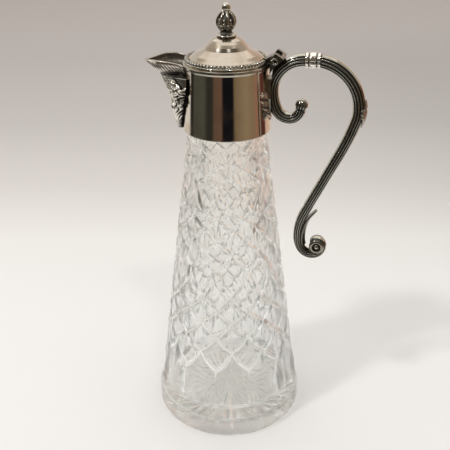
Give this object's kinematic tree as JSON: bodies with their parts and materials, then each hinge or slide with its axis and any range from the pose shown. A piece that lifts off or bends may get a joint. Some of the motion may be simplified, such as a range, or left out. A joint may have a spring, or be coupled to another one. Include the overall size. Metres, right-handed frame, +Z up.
{
  "type": "claret jug",
  "caption": "Tall cut-glass claret jug with a plated collar, hinged domed lid, fluted lip over a mask, and a reeded scroll handle",
  "frame": {"origin": "centre of the round foot, on the surface that the jug stands on", "axes": "+Z up along the axis of the glass, -X towards the lip, +X towards the handle, the hinge pin runs along Y"},
  "size_m": [0.1442, 0.1086, 0.3],
  "materials": {
    "clear_glass": "cut and polished lead glass",
    "plaster": "hard white plaster",
    "plate": "tarnished silver plate, polished",
    "bright_plate": "silver plate, satin",
    "dark_plate": "silver plate, blackened in the hollows",
    "brass": "plain turned brass",
    "steel": "drawn pin wire"
  },
  "bodies": {
    "jug": {"glass_body": "clear_glass", "neck_plaster": "plaster", "collar": "plate", "collar_rim": "plate", "spout_lip": "plate", "spout_mask": "dark_plate", "hinge_body_leaf": "plate", "hinge_pin": "steel", "handle_grip": "dark_plate", "handle_scroll": "dark_plate", "handle_band": "bright_plate", "handle_calyx": "dark_plate", "handle_tongue": "dark_plate", "volute_eyes": "dark_plate", "scroll_bead": "dark_plate", "handle_pad": "dark_plate", "pad_leaf": "dark_plate"},
    "lid": {"lid_dome": "bright_plate", "lid_border": "plate", "lid_bezel": "bright_plate", "finial": "dark_plate", "finial_foot": "dark_plate", "finial_stud": "brass", "finial_washer": "brass", "finial_nut": "brass", "hinge_lid_leaf": "plate"}
  },
  "joints": [
    {"name": "lid_hinge", "type": "hinge", "parent": "jug", "child": "lid", "pos_m": [0.0316, 0, 0.2669], "axis": [0, 1, 0], "range_deg": [0, 100]}
  ]
}
